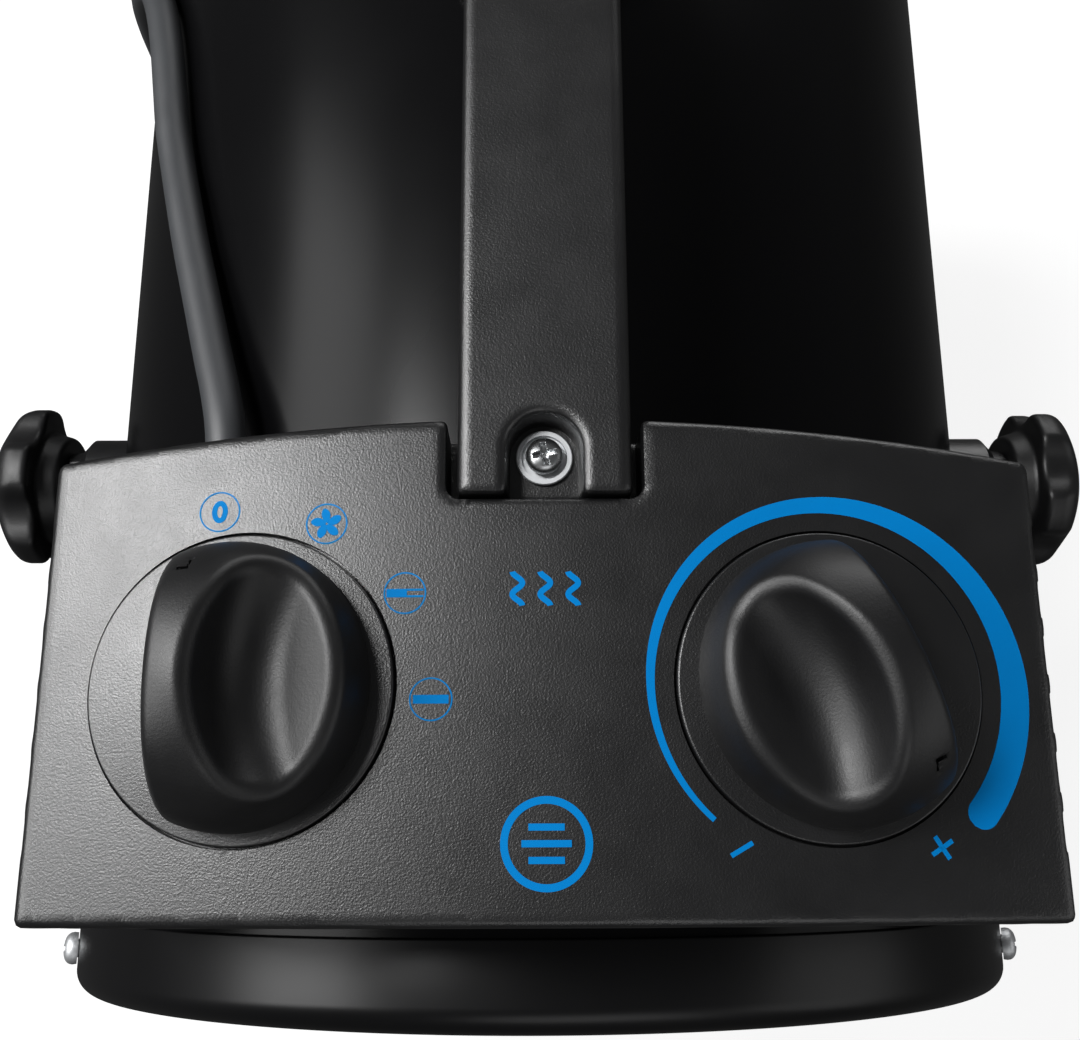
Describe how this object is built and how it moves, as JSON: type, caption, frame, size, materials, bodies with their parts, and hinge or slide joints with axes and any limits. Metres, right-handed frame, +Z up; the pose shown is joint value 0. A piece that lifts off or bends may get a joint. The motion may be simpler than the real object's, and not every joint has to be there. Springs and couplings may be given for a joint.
{
  "type": "fan heater",
  "caption": "Drum-shaped electric fan heater with a dial panel, carrying handle and tilting tube stand with clamp knobs.",
  "frame": {"origin": "on the floor under the middle of the drum's length, on the plane of symmetry of drum and stand", "axes": "+Y along the drum towards the warm air outlet, +X to the right seen from behind, +Z up"},
  "size_m": [0.3022, 0.31, 0.3492],
  "materials": {
    "gloss_black_paint": "gloss",
    "satin_black_paint": "satin",
    "black_plastic": "fine grain",
    "knob_plastic": "satin",
    "black_rubber": "matt",
    "cord_sheath": "matt",
    "zinc_steel": "zinc plated",
    "galvanised_sheet": "galvanised",
    "heating_tube": "heat tinted",
    "motor_case": "plain",
    "fan_sheet": "plain",
    "pale_moulding": "moulded",
    "pin_metal": "nickel plated"
  },
  "bodies": {
    "stand": {"stand_frame": "satin_black_paint", "stand_feet": "black_rubber", "mains_cord": "cord_sheath", "cord_coil": "cord_sheath", "cord_end": "cord_sheath", "cord_tie": "black_rubber", "mains_plug": "black_rubber", "plug_pins": "pin_metal"},
    "heater": {"drum_shell": "gloss_black_paint", "rear_ring": "gloss_black_paint", "front_ring": "gloss_black_paint", "ring_screws": "zinc_steel", "rear_guard": "satin_black_paint", "front_guard": "satin_black_paint", "inner_liner": "galvanised_sheet", "liner_spacers": "galvanised_sheet", "heating_element": "heating_tube", "element_bracket": "galvanised_sheet", "thermal_cutout": "pale_moulding", "fan_motor": "motor_case", "motor_bracket": "galvanised_sheet", "motor_screws": "zinc_steel", "control_housing": "black_plastic", "selector_switch": "pale_moulding", "room_thermostat": "pale_moulding", "terminal_block": "pale_moulding", "carry_handle": "black_plastic", "handle_screws": "zinc_steel", "handle_washer": "zinc_steel", "pivot_bushes": "black_plastic", "pivot_studs": "zinc_steel", "cord_gland": "black_rubber"},
    "selector": {"selector_knob": "knob_plastic", "selector_shaft": "zinc_steel"},
    "thermostat": {"thermostat_knob": "knob_plastic", "thermostat_shaft": "zinc_steel"},
    "clamp_left": {"clamp_knob_left": "knob_plastic"},
    "clamp_right": {"clamp_knob_right": "knob_plastic"},
    "fan": {"fan_impeller": "fan_sheet", "motor_shaft": "zinc_steel", "fan_nut": "zinc_steel"}
  },
  "joints": [
    {"name": "drum_tilt", "type": "hinge", "parent": "stand", "child": "heater", "pos_m": [0, -0.0265, 0.18], "axis": [1, 0, 0], "range_deg": [-10, 25], "deforming": ["mains_cord"]},
    {"name": "selector_turn", "type": "hinge", "parent": "heater", "child": "selector", "pos_m": [-0.0455, -0.1006, 0.32793], "axis": [-0.091, 0, 0.9959], "range_deg": [-100.5, 0]},
    {"name": "thermostat_turn", "type": "hinge", "parent": "heater", "child": "thermostat", "pos_m": [0.0425, -0.1006, 0.32819], "axis": [0.085, 0, 0.9964], "range_deg": [0, 296]},
    {"name": "clamp_left_turn", "type": "hinge", "parent": "heater", "child": "clamp_left", "pos_m": [-0.14, -0.0265, 0.18], "axis": [-1, 0, 0], "continuous": true},
    {"name": "clamp_right_turn", "type": "hinge", "parent": "heater", "child": "clamp_right", "pos_m": [0.14, -0.0265, 0.18], "axis": [1, 0, 0], "continuous": true},
    {"name": "fan_spin", "type": "hinge", "parent": "heater", "child": "fan", "pos_m": [0, -0.04, 0.18], "axis": [0, 1, 0], "continuous": true}
  ]
}
